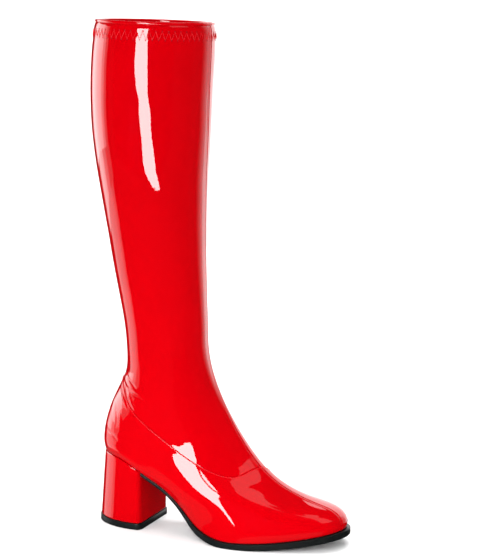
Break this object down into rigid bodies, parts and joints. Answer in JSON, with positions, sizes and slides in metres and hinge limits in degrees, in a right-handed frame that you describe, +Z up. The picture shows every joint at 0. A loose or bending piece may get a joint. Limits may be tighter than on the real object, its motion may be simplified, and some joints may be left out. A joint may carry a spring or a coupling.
{
  "type": "go go boot",
  "caption": "Knee-high patent boot for the right foot: close-fitting hollow shaft with an elastic hem, rounded toe, covered block heel and thin black sole.",
  "frame": {"origin": "middle of the heel's bottom face, on the floor", "axes": "+Z up the shaft, +X towards the toe, +Y towards the inner side of the foot"},
  "size_m": [0.2388, 0.1072, 0.45],
  "materials": {
    "patent": "glossy red stretch patent",
    "heel_cover": "the same patent, drawn tight over the heel",
    "sole": "black, slightly shiny at its edge",
    "lift": "hard black top piece",
    "lining": "pale cloth-backed sock"
  },
  "bodies": {
    "root": {"upper": "patent", "outsole": "sole", "insole": "lining", "heel": "heel_cover", "top_lift": "lift"}
  },
  "joints": []
}
